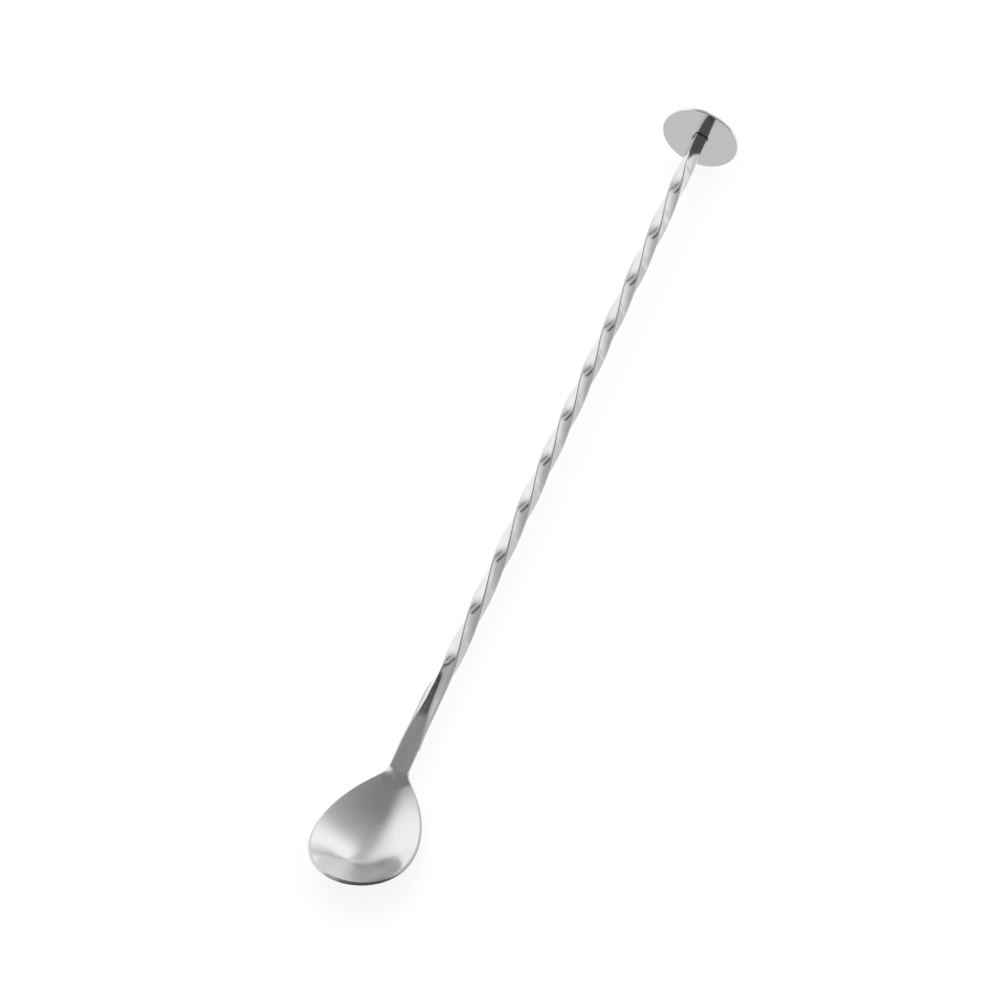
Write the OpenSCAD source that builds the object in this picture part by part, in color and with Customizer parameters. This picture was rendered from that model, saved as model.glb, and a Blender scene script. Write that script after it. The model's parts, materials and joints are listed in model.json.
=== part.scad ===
// Bar spoon with a twisted square rod, an egg-shaped bowl and a flat muddling disc.
// It lies on a table (z = 0) on its disc and the underside of its bowl, bowl open upward.
// The pieces are drawn on the rod's own axis: disc at x = 0, bowl toward -x, z up.

/* [Disc] */
// Diameter of the muddling disc
disc_d = 23.2; // [18:0.2:36]
// Thickness of the disc
disc_t = 1.1; // [0.8:0.1:3]
// Chamfer that breaks the disc's edges
disc_edge = 0.15; // [0.05:0.05:0.3]

/* [Disc joint] */
// Diameter of the spigot turned on the rod's end
spigot_d = 2.6; // [1.6:0.1:2.8]
// Width of the weld bead around the rod's foot
disc_weld_w = 0.5; // [0.3:0.05:1.2]
// Height of that bead along the rod
disc_weld_h = 0.5; // [0.3:0.05:1.5]

/* [Rod] */
// Side of the square bar
bar_w = 3.7; // [3.2:0.1:5]
// Radius of the bar's long corners
bar_r = 0.5; // [0.2:0.05:0.9]
// Length of the straight end at the disc
straight_l = 9; // [4:0.5:20]
// Distance over which the twist sets in, to each side of the straight end's end
twist_ease = 6; // [0.5:0.5:8]
// Length of the twisted stretch
twist_l = 212.6; // [120:0.2:300]
// Turn of the bar over the twisted stretch, in degrees
twist_a = 1055; // [360:5:1800]
// Unevenness of the twist, in degrees to each side
waver_a = 6; // [0:0.5:10]
// Length over which the unevenness repeats
waver_l = 137; // [60:1:300]
// Place of the unevenness along the rod, in degrees
waver_start = 57; // [0:1:360]

/* [Neck] */
// Width of the flat neck
neck_w = 5.8; // [4.4:0.1:8]
// Thickness of the flat neck
neck_t = 1.7; // [1.6:0.1:3.2]
// Radius of the neck's long edges
neck_r = 0.3; // [0.2:0.05:0.9]
// Length of the neck from the end of the twist to the bowl
neck_l = 18.4; // [14:0.2:40]
// Length over which the bar widens to the neck
flare_l = 12; // [8:0.5:20]
// Distance of the neck's full width from the end of the twist
flare_back = 7; // [0:0.5:12]
// Length over which the bar thins to the neck
thin_l = 16; // [8:0.5:20]
// Stretch past the end of the twist where the neck reaches its thickness
thin_past = 4; // [0:0.5:6]
// Rise of the neck's middle above the rod's axis
neck_rise = -0.35; // [-1:0.05:4]
// Set of the neck to one side where the twist ends
neck_shift = 0.7; // [0:0.1:1.5]

/* [Neck joint] */
// Length of the bowl's tang that laps under the neck
lap_l = 8; // [4:0.5:12]
// Width of the tang
tang_w = 4.2; // [3:0.1:4.4]
// Length of the ground bead from the neck's end into the bowl
neck_weld_l = 6; // [3:0.5:8]

/* [Bowl] */
// Length of the bowl along its inner edge line
bowl_l = 41.4; // [30:0.2:60]
// Width of the bowl between its inner edges
bowl_w = 27.4; // [20:0.2:40]
// Distance of the widest place from the tip
widest_l = 16.6; // [12:0.2:24]
// Depth of the bowl below its edge at the deepest place
bowl_depth = 5.7; // [4.5:0.1:10]
// Easing of the bowl's wall toward its edge, as a share of its slope
rim_ease = 0.3; // [0:0.05:0.6]
// Start of the bowl's floor at its root, larger is flatter
root_power = 1.46; // [1.2:0.02:2]
// Fullness of the bowl's sides, larger is steeper near the middle
side_fill = 0.2; // [0:0.05:0.6]
// Thickness of the bowl's sheet
bowl_t = 1.05; // [0.8:0.05:1.4]
// Fall-off of the bowl's sides toward the neck, larger is slimmer
shoulder_power = 0.79; // [0.55:0.01:1.2]
// Rise of the tip above the bowl's root
tip_rise = 6.9; // [0:0.1:12]
// Sag of the edge line between root and tip
rim_sag = 3; // [0:0.1:5]
// Set of the bowl to one side of the rod's axis
bowl_side = 0.5; // [-0.5:0.1:1.5]

/* [Fits] */
// Gap left on each side of a joint face
joint_gap = 0.03; // [0.02:0.01:0.1]

/* [Hidden] */
$fn = 64;

steel = [0.78, 0.78, 0.79];
weld_steel = [0.62, 0.62, 0.63];
disc_steel = [0.72, 0.72, 0.73];

disc_r = disc_d / 2;
bore_r = spigot_d / 2 + joint_gap;
twist_end = straight_l + twist_l;
root_a = twist_end + neck_l;
flare_end = twist_end - flare_back;
thin_end = twist_end + thin_past;
neck_step = neck_t - bowl_t;
root_z = neck_rise - neck_t / 2 + bowl_t;
wide_b = bowl_l - widest_l;
deep_b = bowl_l * root_power / (root_power + 1);
// Sharpness of the fillet between the neck and the bowl's shoulders
fillet_power = 4;
// The neck's bead: smallest thickness, fall of its crown, spread of its sides along the bowl,
// margin to the bowl's edge, and share of its width that is flat at the neck and farther in
feather = 0.08;
crown_power = 1.6;
bead_spread = 0.35;
bead_margin = 0.12;
flat_start = 0.9;
flat_end = 0.3;
flat_reach = 0.35;
// Step over which slopes of the bowl's inside are taken
slope_step = 0.01;

// Counts of the facets that carry the free curves
corner_steps = 3;
twist_step_a = 10;
neck_rows = 14;
bowl_columns = 18;
shoulder_rows = 16;
shoulder_bias = 1.4;
tip_rows = 14;
tip_last_a = 86;
weld_rows = 10;
weld_columns = 16;

function ramp(t) = let (c = min(1, max(0, t))) c * c * (3 - 2 * c);
function mix(a, b, t) = a + (b - a) * t;
function spread(n) = [for (j = [0:n]) 2 * j / n - 1];

// Closed solid through rings of points, each end capped by strips across its ring
module loft(rings) {
    n = len(rings[0]);
    last = len(rings) - 1;
    sides = [
        for (i = [0:last - 1], j = [0:n - 1])
            let (k = (j + 1) % n, here = i * n, next = here + n)
            each [[here + j, next + j, here + k], [here + k, next + j, next + k]]
    ];
    caps = [
        for (j = [0:n / 2 - 2])
            let (e = last * n, m = n - 1 - j)
            each [
                [j, j + 1, m], [j + 1, m - 1, m],
                [e + j, e + m, e + j + 1], [e + j + 1, e + m, e + m - 1]
            ]
    ];
    polyhedron(points = [for (ring = rings) each ring], faces = concat(sides, caps));
}

// Strip of points: a top row from one side to the other, then the bottom row back
function strip(top, bottom) = concat(top, [for (j = [len(bottom) - 1:-1:0]) bottom[j]]);

// The rod along its axis: a is the distance from the disc toward the bowl
function waver(a) = waver_a * sin(360 * a / waver_l + waver_start);
function twist_run(a) =
    let (s = min(1, max(-1, (a - straight_l) / twist_ease)))
    s < 1 ? twist_ease * pow(s + 1, 2) / 4 : a - straight_l;
function twist_t(a) = min(1, twist_run(a) / twist_l);
function turn(a) =
    let (t = twist_t(a), at = straight_l + t * twist_l)
    waver(at) - mix(waver(straight_l), waver(twist_end), t) - twist_a * (1 - t);
function wide_t(a) = ramp((a - flare_end) / flare_l + 1);
function thin_t(a) = ramp((a - thin_end) / thin_l + 1);
function neck_side(a) = wide_t(a) * mix(neck_shift, bowl_side, ramp((a - twist_end) / neck_l));

// Round-cornered section of width w and height h, turned by an angle, in the plane at a
function section(a, w, h, r, angle, side, up) = [
    for (c = [0:3], s = [0:corner_steps])
        let (
            q = 180 - 90 * (c + s / corner_steps),
            y = (c == 1 || c == 2 ? 1 : -1) * (w / 2 - r) + r * cos(q),
            z = (c < 2 ? 1 : -1) * (h / 2 - r) + r * sin(q)
        )
        [-a, side + y * cos(angle) - z * sin(angle), up + y * sin(angle) + z * cos(angle)]
];
function rod_section(a) =
    let (f = wide_t(a), u = thin_t(a))
    section(
        a, mix(bar_w, neck_w, f), mix(bar_w, neck_t, u), mix(bar_r, neck_r, f),
        turn(a), neck_side(a), neck_rise * u
    );

// The bowl from its root at b = 0 to its tip at b = bowl_l
function rim_z(b) = let (t = b / bowl_l) root_z + tip_rise * t - 4 * rim_sag * t * (1 - t);
function tip_share(b) = 1 - pow((b - wide_b) / widest_l, 2);
function shoulder_share(b) = pow(max(0, 1 - pow((wide_b - b) / wide_b, 2)), shoulder_power);
function half_width(b) =
    b >= wide_b
        ? bowl_w / 2 * sqrt(max(0, tip_share(b)))
        : pow(
            pow(bowl_w / 2 * shoulder_share(b), fillet_power)
                + pow(neck_w / 2 * (1 - ramp(b / wide_b)), fillet_power),
            1 / fillet_power
        );
// Share of the depth along the middle, and at a place: 0 along the edge, 1 at the deepest place
function floor_share(b) =
    pow(max(0, b) / deep_b, root_power) * max(0, bowl_l - b) / (bowl_l - deep_b);
function depth_share(b, y) =
    let (q = pow(y / half_width(b), 2))
    floor_share(b) * (1 - q * (1 + side_fill * (1 - q)));
function inner_z(b, y) =
    let (s = depth_share(b, y))
    rim_z(b) - bowl_depth * s * (1 - rim_ease * (1 - s));
function inner_point(b, y) = [-root_a - b, bowl_side + y, inner_z(b, y)];
// The underside lies one sheet thickness below, square to the inner face
function outer_point(b, y) =
    let (
        e = slope_step,
        slope_b = (inner_z(b + e, y) - inner_z(b - e, y)) / (2 * e),
        slope_y = (inner_z(b, y + e) - inner_z(b, y - e)) / (2 * e),
        n = [slope_b, -slope_y, 1]
    )
    inner_point(b, y) - n * (bowl_t / norm(n));

bowl_rows = concat(
    [for (i = [0:shoulder_rows - 1]) wide_b * pow(i / shoulder_rows, shoulder_bias)],
    [for (i = [0:tip_rows]) wide_b + widest_l * sin(tip_last_a * i / tip_rows)]
);
bowl_inside = [for (b = bowl_rows) [for (f = spread(bowl_columns)) inner_point(b, f * half_width(b))]];
bowl_outside = [for (b = bowl_rows) [for (f = spread(bowl_columns)) outer_point(b, f * half_width(b))]];

// The table touches the disc's edge and the lowest place of the bowl
disc_low = [disc_edge + joint_gap, 0, -disc_r];
bowl_points = [for (row = bowl_outside) each row];
function height(p, tilt) = p.z * cos(tilt) - p.x * sin(tilt);
function reach(p, tilt) = p.x * cos(tilt) + p.z * sin(tilt);
function bowl_low(tilt) = min([for (p = bowl_points) height(p, tilt)]);
function settle(tilt, passes) =
    passes == 0
        ? tilt
        : settle(tilt - atan((bowl_low(tilt) - height(disc_low, tilt)) / (root_a + wide_b)), passes - 1);
rest_tilt = settle(0, 5);
rest_z = -height(disc_low, rest_tilt);
far_x = min([for (p = concat(bowl_points, [for (row = bowl_inside) each row])) reach(p, rest_tilt)]);
near_x = reach([disc_t, 0, disc_edge - disc_r], rest_tilt);

module on_table() {
    translate([-(far_x + near_x) / 2, -bowl_side, rest_z]) rotate([0, rest_tilt, 0]) children();
}

// Square with round corners
module round_square(w, r) {
    square([w, w - 2 * r], center = true);
    square([w - 2 * r, w], center = true);
    for (sy = [-1, 1], sz = [-1, 1]) translate([sy, sz] * (w / 2 - r)) circle(r);
}

// Prism of the bar's end section, grown by a margin, standing on the disc's inner face
module bar_foot(margin, length) {
    rotate([0, -90, 0]) rotate([0, 0, 90 - turn(0)]) mirror([1, 0, 0])
        linear_extrude(length) round_square(bar_w + 2 * margin, bar_r + margin);
}

module spoon_bowl() {
    tang_b = [-lap_l, -neck_r];
    tang = [
        for (b = tang_b)
            let (row = [for (f = spread(bowl_columns)) [-root_a - b, bowl_side + f * tang_w / 2, root_z]])
            strip(row, [for (p = row) p - [0, 0, bowl_t]])
    ];
    body = [for (i = [0:len(bowl_rows) - 1]) strip(bowl_inside[i], bowl_outside[i])];
    color(steel) on_table() loft(concat(tang, body));
}

// The bead starts flush with the neck's end and runs out on the bowl's floor
module neck_weld() {
    rings = [
        for (i = [0:weld_rows])
            let (
                t = i / weld_rows,
                b = mix(joint_gap, neck_weld_l, t),
                w = min(half_width(b) - bead_margin, neck_w / 2 + bead_spread * b),
                flat = mix(flat_start, flat_end, ramp(t / flat_reach)),
                crown = (neck_step - feather - joint_gap) * pow(1 - t, crown_power),
                floor_row = [
                    for (f = spread(weld_columns)) inner_point(b, f * w) + [0, 0, joint_gap]
                ]
            )
            strip(
                [
                    for (j = [0:weld_columns])
                        let (f = abs(spread(weld_columns)[j]))
                        floor_row[j] + [0, 0, feather + crown * (1 - ramp((f - flat) / (1 - flat)))]
                ],
                floor_row
            )
    ];
    color(weld_steel) on_table() loft(rings);
}

module twisted_rod() {
    twist_rows = ceil(twist_a / twist_step_a);
    twist_start = straight_l - twist_ease;
    stations = concat(
        [0],
        [for (i = [0:twist_rows - 1]) mix(twist_start, twist_end, i / twist_rows)],
        [for (i = [0:neck_rows]) twist_end + neck_l * i / neck_rows]
    );
    color(steel) on_table() {
        difference() {
            loft([for (a = stations) rod_section(a)]);
            translate([-root_a - lap_l, -neck_w, root_z + joint_gap - 2 * neck_t])
                cube([2 * lap_l + joint_gap, 2 * neck_w, 2 * neck_t]);
        }
        translate([-straight_l / 2, 0, 0]) rotate([0, 90, 0])
            cylinder(d = spigot_d, h = straight_l / 2 + disc_t);
    }
}

module disc_weld() {
    top_r = bar_w * sqrt(2) / 2;
    color(weld_steel) on_table() translate([-joint_gap, 0, 0]) difference() {
        intersection() {
            bar_foot(disc_weld_w, disc_weld_h);
            rotate([0, -90, 0]) cylinder(r1 = top_r + disc_weld_w, r2 = top_r, h = disc_weld_h);
        }
        translate([disc_weld_h, 0, 0]) bar_foot(joint_gap, 3 * disc_weld_h);
    }
}

module muddler_disc() {
    profile = [
        [bore_r, joint_gap], [disc_r - disc_edge, joint_gap], [disc_r, disc_edge + joint_gap],
        [disc_r, disc_t - disc_edge], [disc_r - disc_edge, disc_t], [bore_r, disc_t]
    ];
    color(disc_steel) on_table() rotate([0, 90, 0]) rotate_extrude() polygon(profile);
}

spoon_bowl();
neck_weld();
twisted_rod();
disc_weld();
muddler_disc();
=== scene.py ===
"""Looks of a bar spoon: a twisted square rod, an egg-shaped bowl and a flat muddling disc.

Shapes are worked out in millimetres on the rod's own axis, with the disc's inner face at x = 0,
the bowl toward -x and z up. Each finished mesh is then seated on the table in metres.
"""

import json
import logging
import math
from dataclasses import dataclass
from enum import Enum
from typing import Any, List, Mapping, Optional, Sequence, Tuple, Union

import bmesh
import bpy
from mathutils import Matrix, Vector, noise


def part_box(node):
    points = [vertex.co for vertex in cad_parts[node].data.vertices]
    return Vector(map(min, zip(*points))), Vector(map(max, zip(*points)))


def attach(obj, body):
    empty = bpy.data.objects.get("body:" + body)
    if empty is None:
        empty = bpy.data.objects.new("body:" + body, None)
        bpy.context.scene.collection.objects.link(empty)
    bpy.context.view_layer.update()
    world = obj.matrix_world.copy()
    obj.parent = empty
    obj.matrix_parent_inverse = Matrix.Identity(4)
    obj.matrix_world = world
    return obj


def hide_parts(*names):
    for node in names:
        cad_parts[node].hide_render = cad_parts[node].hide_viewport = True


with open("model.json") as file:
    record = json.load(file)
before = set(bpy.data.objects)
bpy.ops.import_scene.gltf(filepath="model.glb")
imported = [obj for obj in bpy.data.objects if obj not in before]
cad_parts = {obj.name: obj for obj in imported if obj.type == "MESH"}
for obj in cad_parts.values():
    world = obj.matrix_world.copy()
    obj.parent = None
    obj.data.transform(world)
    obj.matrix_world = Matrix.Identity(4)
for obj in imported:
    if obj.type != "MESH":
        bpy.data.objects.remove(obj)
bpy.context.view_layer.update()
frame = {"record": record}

MM = 0.001
TINY = 1e-6
SOFT_REACH = 30.0
log = logging.getLogger("bar_spoon")

Number = Union["Sock", float]
Point = Tuple[float, float, float]
Pair = Tuple[float, float]


def clamp(t: float, low: float = 0.0, high: float = 1.0) -> float:
    """Nearest value between two limits."""
    return min(high, max(low, t))


def ramp(t: float) -> float:
    """Smooth step from 0 to 1."""
    c = clamp(t)
    return c * c * (3.0 - 2.0 * c)


def soft_step(t: float, soft: float) -> float:
    """The larger of t and 0, with the corner rounded over a given length."""
    return soft * math.log1p(math.exp(t / soft)) if t < SOFT_REACH * soft else t


def mix(a: float, b: float, t: float) -> float:
    """Value at the share t of the way from a to b."""
    return a + (b - a) * t


def turned(y: float, z: float, angle: float) -> Pair:
    """Point of a section, turned about the rod's axis by an angle in radians."""
    c, s = math.cos(angle), math.sin(angle)
    return y * c - z * s, y * s + z * c


# Shader graphs


class Sock:
    """An output socket of a node tree that takes part in Python expressions."""

    def __init__(self, graph: "Graph", out: Optional[bpy.types.NodeSocket]) -> None:
        """Keep the graph and the socket."""
        self.graph = graph
        self.out = out

    def __add__(self, other: Number) -> "Sock":
        """Sum."""
        return self.graph.math("ADD", self, other)

    def __radd__(self, other: Number) -> "Sock":
        """Sum with a number on the left."""
        return self.graph.math("ADD", other, self)

    def __sub__(self, other: Number) -> "Sock":
        """Difference."""
        return self.graph.math("SUBTRACT", self, other)

    def __rsub__(self, other: Number) -> "Sock":
        """Difference with a number on the left."""
        return self.graph.math("SUBTRACT", other, self)

    def __mul__(self, other: Number) -> "Sock":
        """Product."""
        return self.graph.math("MULTIPLY", self, other)

    def __rmul__(self, other: Number) -> "Sock":
        """Product with a number on the left."""
        return self.graph.math("MULTIPLY", other, self)

    def __neg__(self) -> "Sock":
        """Value with its sign changed."""
        return self.graph.math("MULTIPLY", self, -1.0)


class Graph:
    """Adds nodes to the tree of a material or the world."""

    def __init__(self, tree: bpy.types.NodeTree) -> None:
        """Empty the tree and keep it."""
        self.tree = tree
        tree.nodes.clear()

    def node(
        self,
        kind: str,
        settings: Optional[Mapping[str, Any]] = None,
        inputs: Optional[Mapping[Union[str, int], Any]] = None,
        out: Union[str, int] = 0,
    ) -> Sock:
        """Add a node.

        Args:
            kind: The node's type name.
            settings: The node's own properties.
            inputs: Values or links of its input sockets, by name or place.
            out: The output socket to return, by name or place.

        Returns:
            The chosen output.
        """
        made = self.tree.nodes.new(kind)
        for key, value in (settings or {}).items():
            setattr(made, key, value)
        for key, value in (inputs or {}).items():
            if isinstance(value, Sock):
                self.tree.links.new(value.out, made.inputs[key])
            else:
                made.inputs[key].default_value = value
        return Sock(self, made.outputs[out] if made.outputs else None)

    def math(self, operation: str, *values: Number) -> Sock:
        """Add a Math node for values and sockets."""
        return self.node("ShaderNodeMath", {"operation": operation}, dict(enumerate(values)))

    def step(self, value: Number, low: float, high: float) -> Sock:
        """Smooth step of a value between two limits, falling where low is the larger."""
        inputs = {"Value": value, "From Min": low, "From Max": high}
        return self.node("ShaderNodeMapRange", {"interpolation_type": "SMOOTHSTEP"}, inputs)

    def blend(self, share: Number, low: Sequence[float], high: Sequence[float]) -> Sock:
        """Mix two colours by a share."""
        inputs = {0: share, 6: (*low, 1.0), 7: (*high, 1.0)}
        return self.node("ShaderNodeMix", {"data_type": "RGBA"}, inputs, 2)

    def shade(self, colour: Sock, share: Number) -> Sock:
        """Scale a colour to a share of itself."""
        return self.node("ShaderNodeVectorMath", {"operation": "SCALE"}, {0: colour, "Scale": share})

    def coordinates(self, space: str) -> Sock:
        """Texture coordinates, by the name of their output."""
        return self.node("ShaderNodeTexCoord", None, None, space)

    def parts(self, vector: Sock) -> Tuple[Sock, ...]:
        """Split a vector into its x, y and z."""
        made = self.node("ShaderNodeSeparateXYZ", None, {0: vector}).out.node
        return tuple(Sock(self, out) for out in made.outputs)

    def metal(self, colour: Sock, rough: Sock, height: Sock, strength: float, depth: float) -> Sock:
        """Add the shader of bare metal.

        Args:
            colour: Tone of the metal.
            rough: Roughness.
            height: Relief, from 0 to 1.
            strength: Strength of the relief.
            depth: Depth of the relief, in metres.

        Returns:
            The shader.
        """
        relief = {"Strength": strength, "Distance": depth, "Height": height}
        bump = self.node("ShaderNodeBump", None, relief)
        inputs = {"Base Color": colour, "Metallic": 1.0, "Roughness": rough, "Normal": bump}
        return self.node("ShaderNodeBsdfPrincipled", None, inputs)

    def light(self, tone: Union[Sock, Sequence[float]]) -> Sock:
        """Add the shader of a surface that shines with a tone."""
        return self.node("ShaderNodeEmission", None, {"Color": tone, "Strength": 1.0})

    def surface(self, shader: Sock) -> None:
        """Make a shader the material's own."""
        self.node("ShaderNodeOutputMaterial", None, {"Surface": shader})


def new_material(name: str) -> Tuple[bpy.types.Material, Graph]:
    """Make an empty material.

    Args:
        name: Name of the material.

    Returns:
        The material and its graph.
    """
    made = bpy.data.materials.new(name)
    made.use_nodes = True
    return made, Graph(made.node_tree)


# Finishes


@dataclass(frozen=True)
class Pattern:
    """Grey noise of a finish.

    Attributes:
        scale: Scale of the noise along each axis.
        limits: Values between which a share goes from 0 to 1, where the noise is cut to one.
        turn: Turn about each axis, in radians.
        detail: Octaves of the noise.
        rough: Strength of the finer octaves.
    """

    scale: Point
    limits: Optional[Pair] = None
    turn: Point = (0.0, 0.0, 0.0)
    detail: float = 2.0
    rough: float = 0.5

    def add(self, g: Graph, at: Sock) -> Sock:
        """Add the noise's nodes.

        Args:
            g: The material's graph.
            at: Coordinates of the noise.

        Returns:
            The noise, from 0 to 1.
        """
        spot = g.node("ShaderNodeMapping", None, {"Vector": at, "Rotation": self.turn, "Scale": self.scale})
        inputs = {"Vector": spot, "Scale": 1.0, "Detail": self.detail, "Roughness": self.rough}
        value = g.node("ShaderNodeTexNoise", None, inputs)
        return g.step(value, *self.limits) if self.limits else value


@dataclass(frozen=True)
class Lines:
    """Fine polishing lines over broad ones.

    Attributes:
        space: The coordinates that they follow.
        fine: The fine lines.
        broad: The broad lines.
        share: Share of the fine lines in the sum.
    """

    space: str
    fine: Pattern
    broad: Pattern
    share: float

    def add(self, g: Graph) -> Sock:
        """Add the lines' nodes and give their height, from 0 to 1."""
        at = g.coordinates(self.space)
        return self.fine.add(g, at) * self.share + self.broad.add(g, at) * (1.0 - self.share)


class Grain(Enum):
    """Polishing lines, by what they follow: the twisted bar, the spoon's length or the disc."""

    BAR = Lines(
        space="UV",
        fine=Pattern((12.0, 58.0, 1.0), (0.3, 0.7), rough=0.6),
        broad=Pattern((6.0, 19.0, 1.0), (0.3, 0.7)),
        share=0.65,
    )
    LENGTH = Lines(
        space="Object",
        fine=Pattern((260.0, 6500.0, 2600.0), detail=3.0, rough=0.6),
        broad=Pattern((60.0, 1100.0, 500.0)),
        share=0.6,
    )
    DISC = Lines(
        space="Object",
        fine=Pattern((3000.0, 5200.0, 420.0), turn=(0.35, 0.0, 0.0), detail=3.0, rough=0.6),
        broad=Pattern((400.0, 700.0, 160.0), turn=(0.35, 0.0, 0.0)),
        share=0.6,
    )


HAIRLINES = (
    Pattern((150.0, 2900.0, 900.0), (0.705, 0.75), (0.2, 0.1, 0.5), 0.0),
    Pattern((2600.0, 210.0, 800.0), (0.715, 0.76), (-0.3, 0.2, 0.25), 0.0),
)
CLOUDS = Pattern((95.0, 95.0, 95.0), (0.42, 0.7), detail=3.0, rough=0.55)
SPECKS = Pattern((1500.0, 1500.0, 1500.0), (0.66, 0.78), detail=1.0)
WELD_BEADS = Pattern((900.0, 1500.0, 1500.0))
WELD_BRUSH = Pattern((700.0, 7000.0, 3500.0), detail=3.0, rough=0.6)


@dataclass(frozen=True)
class Zone:
    """Part of a piece whose polish differs, or whose tone carries painted light or shade.

    Attributes:
        layer: Name of the mesh attribute that holds the zone's share, from 0 to 1.
        tone: Tone of the zone as a share of the clean metal's.
        rough: Extra roughness of the zone.
    """

    layer: str
    tone: float
    rough: float


@dataclass(frozen=True)
class Finish:
    """A finish of the spoon.

    Attributes:
        name: Name of the material.
        slot: The record's slot that it stands for; not used.
    """

    name: str
    slot: str

    def shader(self, g: Graph) -> Sock:
        """Add the finish's shader. Each kind of finish has its own."""
        raise NotImplementedError

    def material(self) -> bpy.types.Material:
        """Make the material.

        Returns:
            The new material.
        """
        made, g = new_material(self.name)
        g.surface(self.shader(g))
        return made


@dataclass(frozen=True)
class SteelFinish(Finish):
    """Stainless steel with polishing lines, hairline scratches and dull patches.

    Attributes:
        tone: Share of the light that it reflects.
        rough: Roughness of the clean metal.
        grain: Its polishing lines.
        line_depth: Height of the lines in the relief.
        line_tone: Share by which the lines change the tone.
        scratch: Strength of the hairline scratches.
        dull: Extra roughness of the dull patches.
        zones: Parts of the piece whose polish differs, or whose tone carries painted light or shade.
        tone_lines: Weight of the lines in the tone.
        tone_scratch: Weight of the scratches in the tone.
        tone_clouds: Weight of the dull patches in the tone.
        tone_specks: Weight of the specks in the tone.
        line_rough: Share by which the lines change the roughness.
        scratch_rough: Extra roughness of a scratch.
        scratch_depth: Depth of a scratch in the relief.
        relief: Strength of the relief.
        relief_depth: Depth of the relief, in metres.
    """

    tone: Point
    rough: float
    grain: Grain
    line_depth: float
    line_tone: float
    scratch: float
    dull: float
    zones: Tuple[Zone, ...]
    tone_lines: float = 0.8
    tone_scratch: float = 0.5
    tone_clouds: float = 0.15
    tone_specks: float = 0.1
    line_rough: float = 0.5
    scratch_rough: float = 0.12
    scratch_depth: float = 0.5
    relief: float = 0.12
    relief_depth: float = 0.00004

    def shader(self, g: Graph) -> Sock:
        """Add the steel's shader.

        Args:
            g: The material's graph.

        Returns:
            The shader.
        """
        at = g.coordinates("Object")
        lines = self.grain.value.add(g)
        hair = g.math("MAXIMUM", *(scratch.add(g, at) for scratch in HAIRLINES)) * self.scratch
        clouds = CLOUDS.add(g, at)
        bright = lines * self.tone_lines + hair * self.tone_scratch
        bright = bright - clouds * self.tone_clouds - SPECKS.add(g, at) * self.tone_specks
        dark = tuple(c * (1.0 - self.line_tone) for c in self.tone)
        light = tuple(min(1.0, c * (1.0 + self.line_tone)) for c in self.tone)
        colour = g.blend(bright, dark, light)
        rough = self.rough + (lines - 0.5) * (self.rough * self.line_rough)
        rough = rough + clouds * self.dull + hair * self.scratch_rough
        for zone in self.zones:
            share = g.node("ShaderNodeAttribute", {"attribute_name": zone.layer}, None, "Fac")
            rough = rough + share * zone.rough
            colour = g.shade(colour, 1 + share * (zone.tone - 1.0))
        height = lines * self.line_depth - hair * self.scratch_depth
        return g.metal(colour, rough, height, self.relief, self.relief_depth)


@dataclass(frozen=True)
class WeldFinish(Finish):
    """Weld metal: dark and pebbled where it was left, brighter where it was brushed.

    Attributes:
        low: Tone of the hollows.
        high: Tone of the brushed crests.
        rough: Roughness of the crests.
        hollow_rough: Extra roughness of the hollows.
        crests: Limits of the weld's height between hollows and crests.
        tone_beads: Weight of the pebbles in the tone, against the brush marks.
        relief_beads: Weight of the pebbles in the relief, against the brush marks.
        relief: Strength of the relief.
        relief_depth: Depth of the relief, in metres.
    """

    low: Point
    high: Point
    rough: float
    hollow_rough: float = 0.16
    crests: Pair = (0.36, 0.62)
    tone_beads: float = 0.7
    relief_beads: float = 0.8
    relief: float = 0.6
    relief_depth: float = 0.0001

    def shader(self, g: Graph) -> Sock:
        """Add the weld metal's shader.

        Args:
            g: The material's graph.

        Returns:
            The shader.
        """
        at = g.coordinates("Object")
        beads = WELD_BEADS.add(g, at)
        brush = WELD_BRUSH.add(g, at)
        share = g.step(beads * self.tone_beads + brush * (1.0 - self.tone_beads), *self.crests)
        colour = g.blend(share, self.low, self.high)
        rough = self.rough + (1 - share) * self.hollow_rough
        height = beads * self.relief_beads + brush * (1.0 - self.relief_beads)
        return g.metal(colour, rough, height, self.relief, self.relief_depth)


SATIN = Zone("satin", 0.76, 0.2)
STEEL_TONE = (0.76, 0.76, 0.763)
ROD_STEEL = SteelFinish(
    name="drawn_bar_steel",
    slot="polished_steel",
    tone=STEEL_TONE,
    rough=0.09,
    grain=Grain.BAR,
    line_depth=0.6,
    line_tone=0.13,
    scratch=0.12,
    dull=0.03,
    # The ridge zone halves the tone along the bar's corners: a painted dark reflection line.
    zones=(SATIN, Zone("painted_ridge_shade", 0.5, 0.0)),
)
BOWL_STEEL = SteelFinish(
    name="pressed_bowl_steel",
    slot="polished_steel",
    tone=STEEL_TONE,
    rough=0.12,
    grain=Grain.LENGTH,
    line_depth=0.3,
    line_tone=0.05,
    scratch=0.4,
    dull=0.04,
    # The edge zone makes the rim rougher and darkens it with painted shade.
    zones=(Zone("edge", 0.8, 0.08), Zone("worn", 1.03, 0.3)),
)
DISC_STEEL = SteelFinish(
    name="disc_sheet_steel",
    slot="disc_steel",
    tone=(0.52, 0.52, 0.523),
    rough=0.1,
    grain=Grain.DISC,
    line_depth=0.45,
    line_tone=0.05,
    scratch=0.3,
    dull=0.03,
    # The edge zone brightens the rim 1.6 times: a painted highlight.
    zones=(Zone("edge", 1.6, 0.0),),
)
NECK_WELD = SteelFinish(
    name="ground_weld_steel",
    slot="weld_steel",
    tone=STEEL_TONE,
    rough=0.12,
    grain=Grain.LENGTH,
    line_depth=0.3,
    line_tone=0.05,
    scratch=0.4,
    dull=0.04,
    zones=(SATIN,),
)
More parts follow.
